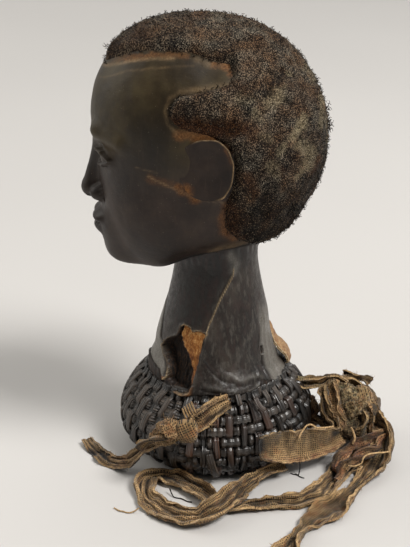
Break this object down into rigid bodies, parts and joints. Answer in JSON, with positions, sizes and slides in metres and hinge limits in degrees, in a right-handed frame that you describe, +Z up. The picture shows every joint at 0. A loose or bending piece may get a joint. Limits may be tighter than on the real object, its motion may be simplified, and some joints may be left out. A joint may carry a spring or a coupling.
{
  "type": "ekoi crest headdress",
  "caption": "Skin-covered crest head with a cap of real hair, on a flared neck over a hollow plaited cane cap, with torn cloth ties lying round its foot.",
  "frame": {"origin": "on the ground, under the middle of the object without its loose cloth ties", "axes": "+Z up, the face looks along -Y, the object's left side is towards +X"},
  "size_m": [0.2442, 0.2458, 0.3329],
  "materials": {
    "head_skin": "dark brown skin, semi-gloss",
    "hair": "tightly curled dark hair, matte",
    "neck_skin": "charcoal skin, worn satin",
    "cane": "blackened plaited cane, polished on the crests",
    "tie_cloth": "coarse worn check cloth, matte"
  },
  "bodies": {
    "root": {"head": "head_skin", "hair": "hair", "neck": "neck_skin", "plaited_cap": "cane", "tie_strap": "tie_cloth", "tie_knot": "tie_cloth", "tie_tail": "tie_cloth", "tie_loop_out": "tie_cloth", "tie_loop_back": "tie_cloth", "tie_band": "tie_cloth", "rag_wad": "tie_cloth", "rag_tail": "tie_cloth"}
  },
  "joints": []
}
